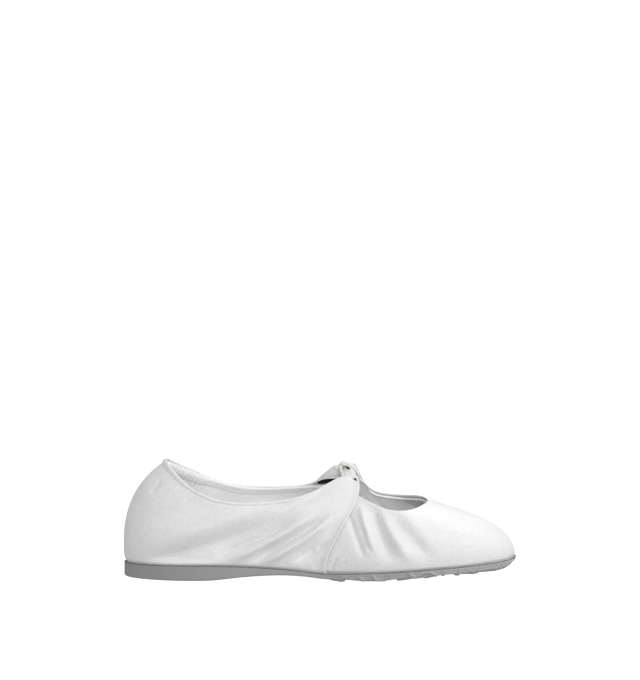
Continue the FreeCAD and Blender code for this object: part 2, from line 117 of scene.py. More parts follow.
# -------- curves
def spline(knots, values):
    """The natural cubic spline through values, a row for each knot, as a function of an array."""
    knots, y = np.asarray(knots, float), np.asarray(values, float)
    y = y.reshape(len(knots), -1)
    n, h = len(knots), np.diff(knots)
    matrix, right = np.eye(n), np.zeros_like(y)
    for i in range(1, n - 1):
        matrix[i, i - 1:i + 2] = h[i - 1], 2 * (h[i - 1] + h[i]), h[i]
        right[i] = 6 * ((y[i + 1] - y[i]) / h[i] - (y[i] - y[i - 1]) / h[i - 1])
    m = np.linalg.solve(matrix, right)

    def at(x):
        x = np.asarray(x, float)
        i = np.clip(np.searchsorted(knots, x, side="right") - 1, 0, n - 2)
        a, b, w = (knots[i + 1] - x)[..., None], (x - knots[i])[..., None], h[i][..., None]
        made = ((m[i] * a ** 3 + m[i + 1] * b ** 3) / (6 * w)
                + (y[i] / w - m[i] * w / 6) * a + (y[i + 1] / w - m[i + 1] * w / 6) * b)
        return made[..., 0] if made.shape[-1] == 1 else made

    return at


def through(points):
    """A spline through points, its parameter from 0 to 1 along its length."""
    points = np.asarray(points, float)
    steps = np.linalg.norm(np.diff(points, axis=0), axis=1)
    knots = np.concatenate([[0], np.cumsum(steps)])
    return spline(knots / knots[-1], points)


def closed(points, lap=4):
    """A closed spline through points, one unit of its parameter from each to the next."""
    n = len(points)
    ring = spline(list(range(-lap, n + lap)), [points[i % n] for i in range(-lap, n + lap)])
    return lambda u: ring(np.mod(u, n))


def smooth(x):
    """A soft step from 0 at x = 0 to 1 at x = 1."""
    x = np.clip(x, 0.0, 1.0)
    return x * x * (3 - 2 * x)


def hump(value, width, power=2.0):
    """1 at 0, falling to 0 on both sides over about width."""
    return np.exp(-(np.abs(value) / width) ** power)


def unit(v):
    return v / np.maximum(np.linalg.norm(v, axis=-1, keepdims=True), 1e-9)


feather_z = spline(*zip(*FEATHER_Z))
bottom_z = spline(*zip(*BOTTOM_Z))
feather_plan = closed(FEATHER)


def feather(u, inset=0.0):
    """Points of the feather line, moved in by inset."""
    u = np.asarray(u, float)
    p, ahead = feather_plan(u), unit(feather_plan(u + 0.05) - feather_plan(u - 0.05))
    out = np.stack([ahead[..., 1], -ahead[..., 0]], -1)
    p = p - out * np.asarray(inset, float)[..., None]
    return np.concatenate([p, feather_z(p[..., 0])[..., None]], -1)


def mirrored(rows):
    return [(x, -y, z) for x, y, z in rows]


class Net:
    """Profiles from the feather line (t = 0) to the topline (t = 1), from the lateral end (s = 0) to the medial
    end (s = 1). Each is a cubic curve whose inner points lie low above its foot and high below its head."""

    def __init__(self, stations, low, high, lateral, medial, heel_first, inward, tuck=None):
        back = [-u for u in stations] if heel_first else [ROUND - u for u in stations]
        u_all = stations + back[-2::-1]
        knots = np.linspace(0, 1, len(u_all))
        self.station = spline(knots, u_all)
        self.top = spline(knots, lateral + medial[-2::-1])
        self.low = spline(knots, low + mirrored(low)[-2::-1])
        self.high = spline(knots, high + mirrored(high)[-2::-1])
        self.inward, self.tuck = inward, tuck

    def __call__(self, s, t):
        s, t = np.broadcast_arrays(np.asarray(s, float), np.asarray(t, float))
        foot = feather(self.station(s), self.tuck(s) if self.tuck else np.zeros_like(s))
        head = self.top(s)
        p1, p2 = foot + self.low(s), head + self.high(s)
        t = t[..., None]
        return (foot * (1 - t) ** 3 + p1 * (3 * t * (1 - t) ** 2)
                + p2 * (3 * t * t * (1 - t)) + head * t ** 3)

    def axes(self, s, t, e=1e-3):
        """Unit vectors along s, along t and out of the shoe."""
        s, t = np.broadcast_arrays(np.asarray(s, float), np.asarray(t, float))
        across = self(np.minimum(s + e, 1), t) - self(np.maximum(s - e, 0), t)
        along = self(s, np.minimum(t + e, 1)) - self(s, np.maximum(t - e, 0))
        return unit(across), unit(along), unit(np.cross(across, along)) * -self.inward

    def top_step(self, s):
        """How many mm of profile one unit of t is worth at the topline."""
        return 3 * np.linalg.norm(self.high(s), axis=-1)

    def below(self, s, t):
        """How many mm a point lies below the topline, true near it."""
        return (1 - t) * self.top_step(s)

    def topline_run(self, s, count=1500):
        """How many mm of topline lie between the lateral end and s."""
        fine = np.linspace(0, 1, count)
        steps = np.linalg.norm(np.diff(self.top(fine), axis=0), axis=1)
        return np.interp(s, fine, np.concatenate([[0], np.cumsum(steps)]))


def vamp_tuck(s):
    """How far the vamp's wings stand inside the feather line, under the quarter."""
    return 1.7 * (1 - smooth((np.minimum(s, 1 - s) - 0.04) / 0.12))


quarter_net, lining_net = (
    Net(QUARTER_STATIONS, QUARTER_LOW, QUARTER_HIGH, QUARTER_TOP_LATERAL, top, heel_first=True, inward=1)
    for top in (QUARTER_TOP_MEDIAL, LINING_TOP_MEDIAL))
vamp_net = Net(VAMP_STATIONS, VAMP_LOW, VAMP_HIGH, VAMP_TOP_LATERAL, VAMP_TOP_MEDIAL,
               heel_first=False, inward=-1, tuck=vamp_tuck)


def even(net, count, first=0.0, last=1.0):
    """Values of s between first and last, evenly spaced in mm by the mean of a low line and a high one."""
    fine = np.linspace(first, last, 2000)
    p = net(fine, np.full_like(fine, 0.5)) + net(fine, np.full_like(fine, 0.9))
    run = np.concatenate([[0], np.cumsum(np.linalg.norm(np.diff(p, axis=0), axis=1))])
    return np.interp(np.linspace(0, 1, count) * run[-1], run, fine)


def from_top(net, s, distance):
    """t at a distance in mm below the topline."""
    return 1 - distance / net.top_step(s)


# -------- folds, seen from the side in x and w, in mm
def fold_offsets(xw, folds):
    """The sum of the folds at each point."""
    samples, margin, at_once, end_width = 120, 30, 20000, 4.0
    total = np.zeros(xw.shape[:-1])
    flat = xw.reshape(-1, 2)
    for height, below, above, power, (fade_in, fade_out), line in folds:
        q = np.linspace(0, 1, samples)
        c = through(line)(q)
        ahead = unit(np.gradient(c, axis=0))
        up = np.stack([-ahead[:, 1], ahead[:, 0]], -1)
        length = np.linalg.norm(np.diff(c, axis=0), axis=1).sum()
        near = np.abs(flat[:, 0] - c[:, 0].mean()) < np.ptp(c[:, 0]) / 2 + margin
        p = flat[near]
        best = np.zeros(len(p), int)
        for a in range(0, len(p), at_once):
            d2 = ((p[a:a + at_once, None, :] - c[None]) ** 2).sum(-1)
            best[a:a + at_once] = d2.argmin(1)
        rel = p - c[best]
        d = (rel * up[best]).sum(-1)
        run = q[best] + (rel * ahead[best]).sum(-1) / length
        past = np.maximum(0, np.maximum(-run, run - 1)) * length
        width = np.where(d > 0, above, below)
        amount = hump(d, width, power) * hump(past, end_width)
        amount *= smooth(run / max(fade_in, 1e-3)) * smooth((1 - run) / max(fade_out, 1e-3))
        part = np.zeros(len(flat))
        part[near] = FOLD_DEPTH * height * amount
        total += part.reshape(total.shape)
    return total


# (height, width below, width above, power, (fade in, fade out), line)
QUARTER_FOLDS = [
    (-2.6, 8, 6.5, 2, (0.25, 0.4), [(-118, 7), (-86, 13.5), (-54, 24), (-30, 33), (-8, 43)]),
    (0.9, 5, 5, 2, (0.3, 0.4), [(-100, 24), (-78, 29), (-52, 38), (-30, 45)]),
    (-2.5, 1.1, 4.5, 1.2, (0.25, 0.35), [(-67, 8.2), (-55.8, 14.6), (-41.5, 20.4), (-28.7, 27), (-19, 33.4),
                                         (-8.5, 40)]),
    (1.4, 2.8, 2.4, 2, (0.25, 0.3), [(-60, 6.5), (-44.6, 15), (-26, 24.5), (-8, 35), (4, 42)]),
    (-2.5, 1.1, 4.5, 1.2, (0.25, 0.35), [(-45, 6.4), (-30.7, 14.5), (-14, 24.5), (2.7, 36.5), (10, 44)]),
    (1.5, 2.8, 2.4, 2, (0.25, 0.3), [(-40, 5.5), (-20, 16.5), (-4, 27), (11, 39)]),
    (-1.1, 1.4, 3.6, 1.4, (0.35, 0.4), [(-19, 7.6), (-5, 14), (7.7, 22.3)]),
    (-1.5, 5, 4, 1.8, (0.3, 0.4), [(-16, 8), (-3, 18), (8, 30), (14, 42)]),
    (-0.7, 3, 4, 2, (0.3, 0.4), [(-30, 44), (-10, 47), (8, 54)]),
    (0.5, 3, 3, 2, (0.3, 0.4), [(-24, 40), (-4, 46), (12, 52)]),
    (-1.5, 0.9, 2, 1.4, (0.35, 0.35), [(-107.8, 51.8), (-103.7, 55.8), (-101.6, 59.2), (-100.9, 63.6)]),
    (-0.4, 1, 2, 1.5, (0.1, 0.4), [(-3, 4), (0.5, 7.5), (2.5, 12)]),
    (0.3, 0.9, 0.9, 1.8, (0.1, 0.4), [(-0.5, 3.2), (1.5, 6), (3.4, 9.6)]),
]
VAMP_FOLDS = [
    (-1.2, 2, 2.6, 1.6, (0.25, 0.3), [(17, 42), (20.2, 33), (25.5, 17.9), (29.5, 8)]),
    (1.4, 2.4, 2.4, 2, (0.25, 0.3), [(25, 47), (27, 40), (30.5, 27), (34, 13)]),
    (-0.8, 1.2, 1.6, 1.5, (0.3, 0.25), [(26.5, 32), (29.5, 22), (33.2, 13)]),
    (-1.9, 4.6, 4.2, 1.9, (0.25, 0.3), [(31, 46), (35.5, 38), (41, 23), (48, 6)]),
    (1.3, 3.4, 3.4, 2, (0.25, 0.3), [(36, 44), (41.5, 33), (50, 20), (59, 6)]),
    (-1.6, 5, 5, 1.9, (0.3, 0.3), [(42, 43), (50, 33), (61, 20), (73, 6)]),
    (0.7, 4, 4, 2, (0.3, 0.4), [(50, 41), (60, 31), (74, 18)]),
    (-0.45, 0.8, 1.2, 1.5, (0.05, 0.45), [(7.4, 3.4), (8.6, 6.6), (10.6, 9.6), (13, 12)]),
    (0.35, 1, 1, 1.8, (0.05, 0.45), [(9.4, 3.4), (10.8, 6), (13.2, 8.8), (16, 10.6)]),
    (-0.35, 0.8, 1.2, 1.5, (0.05, 0.45), [(11.6, 3.2), (13.2, 5.4), (16, 7.6), (19, 9)]),
]
# pleats of the medial wing, which run together under the loop
WING_FOLDS = [
    (-0.6, 0.7, 0.7, 1.6, (0.05, 0.5), [(14.5, 61.5), (12.2, 63.6), (10.2, 65.6), (9.2, 67.4)]),
    (-0.5, 0.6, 0.8, 1.6, (0.05, 0.5), [(14.5, 60.8), (11.4, 62.4), (8.4, 63.6), (5, 64.4)]),
    (0.45, 0.8, 0.8, 1.8, (0.05, 0.5), [(14.5, 61.2), (11.6, 63.2), (9, 65), (7, 66.6)]),
]


def swapped(folds, dx, scale):
    """The folds of the other side: the same kind, moved and a little different."""
    out = []
    for k, (height, below, above, power, fades, line) in enumerate(folds):
        wander = 2.2 * math.sin(2.1 * k + 0.7)
        out.append((height * scale * (0.85 + 0.3 * math.sin(1.7 * k) ** 2), below, above, power, fades,
                    [(x + dx + wander, w - 0.6 * wander) for x, w in line]))
    return out


def side_folds(points, lateral, medial):
    """Folds of both sides at points in the drawing: lateral ones where y < 0, medial ones where y > 0."""
    x, y, z = points[..., 0], points[..., 1], points[..., 2]
    share = smooth(0.5 - y / 16.0)  # they pass into each other over 16 mm across the middle
    near = fold_offsets(np.stack([x, z + y * TILT], -1), lateral)
    far = fold_offsets(np.stack([x, z - y * TILT], -1), medial)
    return near * share + far * (1 - share)


# -------- meshes
def make_object(name, verts, faces, material):
    """A smooth-shaded object; every face has as many corners as faces has columns."""
    mesh = bpy.data.meshes.new(name)
    verts = np.asarray(verts, np.float32).reshape(-1, 3)
    mesh.vertices.add(len(verts))
    mesh.vertices.foreach_set("co", verts.ravel())
    faces = np.asarray(faces, np.int32)
    mesh.loops.add(faces.size)
    mesh.loops.foreach_set("vertex_index", faces.ravel())
    mesh.polygons.add(len(faces))
    mesh.polygons.foreach_set("loop_start", np.arange(0, faces.size, faces.shape[1], dtype=np.int32))
    mesh.polygons.foreach_set("loop_total", np.full(len(faces), faces.shape[1], np.int32))
    mesh.update(calc_edges=True)
    mesh.validate()
    mesh.polygons.foreach_set("use_smooth", np.ones(len(mesh.polygons), bool))
    mesh.materials.append(material)
    made = bpy.data.objects.new(name, mesh)
    bpy.context.collection.objects.link(made)
    return made


def mend(obj, merge=0.0, drop=0.0, sides=None, round_ends=True):
    """Merges near points, drops faces without area, fills holes of up to that many sides (0 for any) and
    turns every face outwards."""
    bm = bmesh.new()
    bm.from_mesh(obj.data)
    if merge:
        bmesh.ops.remove_doubles(bm, verts=bm.verts, dist=merge)
    if drop:
        bmesh.ops.dissolve_degenerate(bm, edges=bm.edges, dist=drop)
    if sides is not None:
        bmesh.ops.holes_fill(bm, edges=[e for e in bm.edges if e.is_boundary], sides=sides)
    bmesh.ops.recalc_face_normals(bm, faces=bm.faces)
    if round_ends:
        for f in bm.faces:
            f.smooth = True
    bm.to_mesh(obj.data)
    bm.free()
    return obj


def place(obj, node, slot):
    """Rides the piece on the shoe's one body, in place of a CAD node, which it hides. The slot is not used."""
    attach(obj, "root")
    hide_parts(node)
    return obj


def grid_faces(m, n, wrap_m=False, wrap_n=False):
    """The quads of a grid of m by n points, closed across either end that wraps."""
    i = np.arange(m if wrap_m else m - 1)
    j = np.arange(n if wrap_n else n - 1)
    i, j = np.meshgrid(i, j, indexing="ij")
    i2, j2 = (i + 1) % m, (j + 1) % n
    return np.stack([i * n + j, i2 * n + j, i2 * n + j2, i * n + j2], -1).reshape(-1, 4)


def to_row(points):
    """Points of the drawing, in mm, as points of the row frame, in metres."""
    return (np.asarray(points) + TO_ROW) * MM


END_CAP = np.radians([22.5, 45, 67.5, 90])
EDGE_CAP = np.radians(np.linspace(0, 180, 9))[1:-1]


def slab_shell(name, net, s, t_low, t_high, depth, thick, material, rows, back_rows, lift=None):
    """A rounded slab on a net, closed at both ends. It reaches from t_low to t_high and its outer face lies
    depth mm inside the net; these are numbers or arrays over s. lift(s, t, points) is how far points move
    out of the shoe."""
    r = thick / 2.0
    ends = len(END_CAP)
    col_s = np.concatenate([np.full(ends, s[0]), s, np.full(ends, s[-1])])
    squash = np.concatenate([np.cos(END_CAP)[::-1], np.ones(len(s)), np.cos(END_CAP)])
    col_out = np.concatenate([-np.sin(END_CAP)[::-1], np.zeros(len(s)), np.sin(END_CAP)]) * r
    low, high, d0 = (np.interp(col_s, s, np.broadcast_to(v, s.shape)) for v in (t_low, t_high, depth))
    share = np.concatenate([np.linspace(0, 1, rows), np.ones(len(EDGE_CAP)), np.linspace(1, 0, back_rows),
                            np.zeros(len(EDGE_CAP))])
    turn = np.concatenate([np.zeros(rows), EDGE_CAP, np.full(back_rows, math.pi), math.pi + EDGE_CAP])
    S = np.broadcast_to(col_s[:, None], (len(col_s), len(share)))
    T = low[:, None] + (high - low)[:, None] * share[None]
    base = net(S, T)
    along_s, along_t, out = net.axes(S, np.clip(T, 1e-3, 1 - 1e-3))
    c, e = np.cos(turn)[None], np.sin(turn)[None]
    down = d0[:, None] + r - r * c * squash[:, None]
    p = base - out * down[..., None] + along_t * (r * e * squash[:, None])[..., None]
    p = p + along_s * col_out[:, None, None]
    if lift is not None:
        p = p + out * lift(S, T, base)[..., None]
    return mend(make_object(name, to_row(p), grid_faces(*S.shape, wrap_n=True), material), 2e-6, 2e-6)


# -------- materials
def join(tree, node, inputs):
    """Links the inputs that are sockets and sets the others."""
    for key, value in inputs.items():
        if isinstance(value, bpy.types.NodeSocket):
            tree.links.new(value, node.inputs[key])
        else:
            node.inputs[key].default_value = value
    return node


def add(tree, kind, result, inputs, **settings):
    """Adds a node and returns its output called result."""
    node = tree.nodes.new("ShaderNode" + kind)
    for key, value in settings.items():
        setattr(node, key, value)
    return join(tree, node, inputs).outputs[result]


def material(name, color, roughness, sheen=0.0, specular=0.4):
    """A plain material, with its tree, its object coordinates and its shader."""
    made = bpy.data.materials.new(name)
    made.use_nodes = True
    tree = made.node_tree
    shader = join(tree, tree.nodes["Principled BSDF"], {
        "Base Color": (*color, 1), "Roughness": roughness,
        "Specular IOR Level": specular, "Sheen Weight": sheen})
    return made, tree, add(tree, "TexCoord", "Object", {}), shader


def noise(tree, coords, scale, detail=4.0, rough=0.55, distortion=0.0):
    return add(tree, "TexNoise", "Fac", {"Vector": coords, "Scale": scale, "Detail": detail,
                                         "Roughness": rough, "Distortion": distortion})


def remap(tree, value, low, high, to_low=0.0, to_high=1.0):
    return add(tree, "MapRange", "Result", {"Value": value, "From Min": low, "From Max": high,
                                            "To Min": to_low, "To Max": to_high})


def mix_colors(tree, share, a, b):
    return add(tree, "Mix", "Result", {"Factor": share, "A": (*a, 1), "B": (*b, 1)}, data_type="RGBA")


def bump(tree, height, strength, distance, **normal):
    """Bumps, on top of others where Normal is given."""
    inputs = {"Height": height, "Strength": strength, "Distance": distance, **normal}
    return add(tree, "Bump", "Normal", inputs)


def leather(name, color, darker, roughness, grain=0.35, cell=1100.0, crease=0.3):
    """Soft leather: colour that varies a little, pores between small cells, and fine creases."""
    made, tree, coords, shader = material(name, color, roughness, sheen=0.12, specular=0.35)
    clouds = remap(tree, noise(tree, coords, 38.0, 5.0, 0.6), 0.35, 0.7, 0.0, 0.5)
    mottle = remap(tree, noise(tree, coords, 430.0, 2.0, 0.5), 0.35, 0.65, 0.0, 0.5)
    both = add(tree, "Math", 0, {0: clouds, 1: mottle}, operation="ADD")
    cells = add(tree, "TexVoronoi", "Distance", {"Vector": coords, "Scale": cell}, feature="DISTANCE_TO_EDGE")
    creases = bump(tree, noise(tree, coords, 560.0, 4.0, 0.55, 0.25), crease, 0.0007)
    gloss = remap(tree, noise(tree, coords, 160.0, 3.0), 0.3, 0.7, roughness - 0.06, roughness + 0.07)
    join(tree, shader, {"Base Color": mix_colors(tree, both, color, darker), "Roughness": gloss,
                        "Normal": bump(tree, remap(tree, cells, 0.0, 0.22), grain, 0.00006, Normal=creases)})
    return made


def cloth(name, color, darker, roughness, scale=900.0):
    """Textile, felt, foam or thread: uneven colour and a fine nap of that scale."""
    made, tree, coords, shader = material(name, color, roughness, sheen=0.25, specular=0.2)
    patches = remap(tree, noise(tree, coords, 70.0, 6.0, 0.65), 0.35, 0.68)
    join(tree, shader, {"Base Color": mix_colors(tree, patches, color, darker),
                        "Normal": bump(tree, noise(tree, coords, scale, 3.0), 0.5, 0.00012)})
    return made


def rubber(name, color, darker, roughness, front=1.0):
    """Matt rubber, front times as light in the forefoot as at the heel."""
    made, tree, coords, shader = material(name, color, roughness, specular=0.3)
    patches = remap(tree, noise(tree, coords, 24.0, 6.0, 0.6), 0.35, 0.7)
    forward = remap(tree, add(tree, "SeparateXYZ", "X", {"Vector": coords}), -0.06, 0.04)
    lighter = add(tree, "Mix", "Result", {
        "Factor": forward, "A": mix_colors(tree, patches, color, darker), "B": (front, front, front, 1)},
        data_type="RGBA", blend_type="MULTIPLY", clamp_result=False)
    join(tree, shader, {"Base Color": lighter,
                        "Normal": bump(tree, noise(tree, coords, 2600.0, 2.0), 0.25, 0.00004)})
    return made


WHITE = leather("white_leather", (0.76, 0.76, 0.755), (0.69, 0.69, 0.685), 0.46, crease=0.42)
CREAM = leather("cream_leather", (0.80, 0.785, 0.755), (0.75, 0.735, 0.70), 0.42)
INNER = leather("lining_leather", (0.90, 0.90, 0.90), (0.85, 0.85, 0.85), 0.6, 0.25, 1500.0, 0.35)
BAND = leather("facing_leather", (0.84, 0.84, 0.84), (0.79, 0.79, 0.79), 0.55, 0.2, 1400.0, 0.2)
GREY_SIDE = cloth("side_lining", (0.93, 0.93, 0.935), (0.82, 0.82, 0.825), 0.8)
GREY_TOE = cloth("toe_lining", (0.74, 0.74, 0.745), (0.60, 0.60, 0.605), 0.8)
SOCK = leather("sock_leather", (0.70, 0.70, 0.69), (0.64, 0.64, 0.63), 0.6, 0.3, 1300.0, 0.25)
SOLE = rubber("sole_rubber", (0.30, 0.30, 0.305), (0.272, 0.272, 0.277), 0.72, 1.3)
STIFF = cloth("stiffener_sheet", (0.7, 0.68, 0.6), (0.6, 0.58, 0.5), 0.9, 800.0)
THREAD = cloth("thread", (0.62, 0.62, 0.62), (0.5, 0.5, 0.5), 0.7, 3000.0)
# painted shadow: a near-black material for sheets put where the knot's gaps lie in deep shade
SHADOW_BLACK = cloth("painted_shadow_black", (0.02, 0.02, 0.022), (0.012, 0.012, 0.014), 0.95)
ELASTIC = cloth("covered_elastic", (0.75, 0.75, 0.74), (0.6, 0.6, 0.59), 0.85, 2500.0)
# painted shadow: a dark material for the ring along the crevice where the upper meets the sole
CREVICE_SHADE = rubber("painted_crevice_shadow", (0.12, 0.12, 0.125), (0.08, 0.08, 0.085), 0.8)

# -------- upper: quarter
def elastic(s, ramp=0.06):
    """1 where the heel's elastic gathers the topline, 0 in front of it."""
    return smooth((HEEL_REACH - np.abs(s - 0.5)) / ramp)


def gathers(s, seed, shortest=1.5, longest=2.9):
    """Rounded gathers with sharp valleys between them, along the quarter's topline, from 0 to 1."""
    rng = np.random.default_rng(seed)
    ends = np.concatenate([[0], np.cumsum(rng.uniform(shortest, longest, 200))])
    size = rng.uniform(0.45, 1.0, len(ends))
    run = quarter_net.topline_run(s)
    k = np.clip(np.searchsorted(ends, run, side="right") - 1, 0, len(ends) - 2)
    place = (run - ends[k]) / (ends[k + 1] - ends[k])
    return size[k] * np.sqrt(np.maximum(0, 1 - (2 * place - 1) ** 2))


def quarter_body(s, t, base):
    """The folds that go through every layer of the quarter."""
    out = side_folds(base, QUARTER_FOLDS, swapped(QUARTER_FOLDS, -3.0, 0.8) + WING_FOLDS)
    out = out * smooth(t / 0.1) * smooth((1 - t) / 0.08)
    calm = elastic(s, 0.12) * smooth((t - 0.55) / 0.3)
    return 1.15 * out * (1 - 0.7 * calm)


def tuck_in(t):
    """The leather's foot, turned in over the sole's edge."""
    return -FOOT_TUCK[0] * hump(t, FOOT_TUCK[1], 1.5)


def quarter_lift(s, t, base):
    """Folds, the topline's rim with a groove under it, gathers at the heel and rolled front edges."""
    below = quarter_net.below(s, t)
    at_heel = smooth(1 - np.abs(s - 0.5) / 0.18)
    rim = (0.40 + 0.6 * at_heel) * hump(below, 0.95 + 1.7 * at_heel, 6)
    groove = -(0.06 + 0.16 * at_heel) * hump(below - 1.6 - 1.6 * at_heel, 0.55)
    gather = 0.22 * gathers(s, 5) * elastic(s) * hump(below, 5.0)
    front = np.minimum(s, 1 - s) * FRONT_RUN
    roll = 0.22 * hump(front - 1.0, 1.4) + 0.7 * hump(front, 7.0)
    return quarter_body(s, t, base) + rim + groove + gather + tuck_in(t) + roll


place(slab_shell("quarter_leather", quarter_net, even(quarter_net, 600), 0.0, 1.0, 0.0, LEATHER, WHITE,
                 112, 16, quarter_lift), "quarter", "upper_leather")

# -------- upper: vamp
def vamp_lift(s, t, base):
    """Folds, which fade out towards every edge, and the turned-in foot."""
    out = 0.95 * side_folds(base, VAMP_FOLDS, swapped(VAMP_FOLDS, -2.0, 0.8))
    out = out * smooth(t / 0.07) * smooth((1 - t) / 0.10) * smooth(np.minimum(s, 1 - s) / 0.06)
    return out + tuck_in(t)


place(slab_shell("vamp_leather", vamp_net, even(vamp_net, 560), 0.0, 1.0, 0.0, LEATHER, WHITE,
                 112, 16, vamp_lift), "vamp", "upper_leather")


# -------- linings and facings
def facing_height(s):
    """How far the topline's facing reaches down, in mm."""
    return FACING_HEIGHT + (TUNNEL - FACING_HEIGHT) * elastic(s)


def lining_lift(s, t, base):
    """The leather's folds, and gathers under the elastic's tunnel."""
    below = lining_net.below(s, t)
    pulled = -1.9 * gathers(s, 11) * elastic(s) * hump(below - TUNNEL, 4.5)
    return pulled + 0.8 * quarter_body(s, t, base) * smooth((1 - t) / 0.2)


s_lining = even(quarter_net, 420, 0.10, 0.90)
place(slab_shell("quarter_lining_skin", lining_net, s_lining, LINING_FOOT,
                 from_top(lining_net, s_lining, QUARTER_LINING_TOP), LINING_DEPTH, LINING, INNER, 76, 14,
                 lining_lift), "quarter_lining", "lining_leather")


def facing_lift(s, t, base):
    """The tunnel bulges towards the foot over the elastic, in gathers."""
    down = (lining_net.below(s, t) - FACING_TOP) / (facing_height(s) - FACING_TOP)
    bulge = np.sqrt(np.maximum(0, 1 - (2 * np.clip(down, 0, 1) - 1) ** 2))
    return -elastic(s) * (0.5 * bulge + 1.7 * gathers(s, 11) * (0.35 + 0.65 * bulge))


s_facing = even(lining_net, 620, 0.10, 0.92)
scallops = 0.9 * elastic(s_facing) * (gathers(s_facing, 11) - 0.5)
place(slab_shell("topline_facing_strip", lining_net, s_facing,
                 from_top(lining_net, s_facing, facing_height(s_facing) + scallops),
                 from_top(lining_net, s_facing, FACING_TOP), TOPLINE_FACING_DEPTH, TOPLINE_FACING, BAND,
                 16, 8, facing_lift), "topline_facing", "facing")


def wing_thinning(s):
    """How much nearer to the leather the layers lie in the medial wing, which bends sharply, in mm."""
    return 0.95 * smooth((s - 0.72) / 0.06)


def wing_drop(s):
    """How much lower the inner layers end in the medial wing, whose topline leans over them, in mm."""
    return 0.8 * smooth((s - 0.70) / 0.06)


def throat_lining_lift(s, t, base):
    return 0.8 * vamp_lift(s, t, base) * smooth(t / 0.1)


for name, node, first, last, finish in (
        ("vamp_lining_near", "vamp_lining_lateral", 0.03, SEAM - SEAM_GAP, GREY_SIDE),
        ("vamp_lining_front", "vamp_lining_toe", SEAM + SEAM_GAP, 1 - SEAM - SEAM_GAP, GREY_TOE),
        ("vamp_lining_far", "vamp_lining_medial", 1 - SEAM + SEAM_GAP, 0.97, GREY_SIDE)):
    s_side = even(vamp_net, 170, first, last)
    place(slab_shell(name, vamp_net, s_side, LINING_FOOT,
                     from_top(vamp_net, s_side, VAMP_LINING_TOP + wing_drop(s_side)),
                     LINING_DEPTH - wing_thinning(s_side), LINING, finish, 50, 12, throat_lining_lift),
          node, "vamp_lining")

s_throat = even(vamp_net, 320, 0.19, 0.865)
place(slab_shell("throat_facing_strip", vamp_net, s_throat,
                 from_top(vamp_net, s_throat, THROAT_FACING_FOOT + wing_drop(s_throat)),
                 from_top(vamp_net, s_throat, THROAT_FACING_TOP + wing_drop(s_throat)),
                 THROAT_FACING_DEPTH - 0.4 * wing_thinning(s_throat), THROAT_FACING, BAND, 8, 4),
      "throat_facing", "facing")


# -------- black sheets painted as the shadow in the gaps of the folds beside the knot
# their edges in the side view, as x and then w
POCKET_TOP = spline([-4.0, -2.3, 0.6, 5.1, 10.0, 14.0], [57.8, 58.8, 60.7, 61.7, 61.8, 61.4])
POCKET_FOOT = spline([-4.0, -2.3, 1.9, 6.4, 10.0, 14.0], [57.6, 58.5, 58.6, 59.6, 60.6, 60.6])
NOTCH_TOP = spline([20.0, 21.9, 24.6, 28.0], [61.3, 61.6, 62.1, 62.6])
NOTCH_FOOT = spline([20.0, 21.9, 24.6, 28.0], [61.6, 61.2, 59.3, 56.6])
LEAST_POCKET, LEAST_NOTCH = 0.006, 0.004  # the least height that is left of them, in t


def t_under(net, s, depth, height):
    """t at which a surface depth mm inside a net crosses the curve height in the side view."""
    tries = np.linspace(0.6, 1.0, 400)
    S, T = np.meshgrid(s, tries, indexing="ij")
    p = net(S, T) - net.axes(S, T)[2] * depth
    over = p[..., 2] + p[..., 1] * TILT - height(p[..., 0])
    return tries[np.argmax(over > 0, axis=1)]


# a black sheet painted as the shadow in the gap under the medial wing's fold
s_pocket = np.linspace(0.885, 0.985, 120)
pocket_top = t_under(quarter_net, s_pocket, LEATHER + SHADOW_SHEET, POCKET_TOP)
pocket_foot = t_under(quarter_net, s_pocket, LEATHER + SHADOW_SHEET, POCKET_FOOT)
place(slab_shell("wing_fold_painted_shadow", quarter_net, s_pocket,
                 np.minimum(pocket_foot, pocket_top - LEAST_POCKET), pocket_top, LEATHER + 0.05, SHADOW_SHEET, SHADOW_BLACK,
                 20, 6, quarter_body), "quarter", "upper_leather")

# a black sheet painted as the shadow in the notch at the near wing's corner
s_notch = np.linspace(0.0005, 0.0145, 24)
notch_foot = t_under(quarter_net, s_notch, -SHADOW_SHEET, NOTCH_FOOT)
notch_top = t_under(quarter_net, s_notch, -SHADOW_SHEET, NOTCH_TOP)
place(slab_shell("near_wing_notch_painted_shadow", quarter_net, s_notch, notch_foot,
                 np.maximum(notch_top, notch_foot + LEAST_NOTCH), -0.62, SHADOW_SHEET, SHADOW_BLACK, 10, 4),
      "quarter", "upper_leather")


# -------- stiffeners, under the leather
def arch(middle, end, reach):
    """The top of a stiffener as a function of s: highest in the middle of its net."""
    return lambda s: end + (middle - end) * smooth(1 - np.abs(s - 0.5) / reach)


for name, node, net, first, last, top, body in (
        ("heel_counter_sheet", "heel_counter", quarter_net, 0.30, 0.70, arch(0.58, 0.34, 0.17), quarter_body),
        ("toe_puff_sheet", "toe_puff", vamp_net, 0.36, 0.64, arch(0.48, 0.30, 0.12), vamp_lift)):
    s_sheet = even(net, 140, first, last)
    piece = slab_shell(name, net, s_sheet, 0.04, top(s_sheet), LEATHER + 0.1, STIFFENER, STIFF, 40, 12, body)
    place(piece, node, "stiffener")


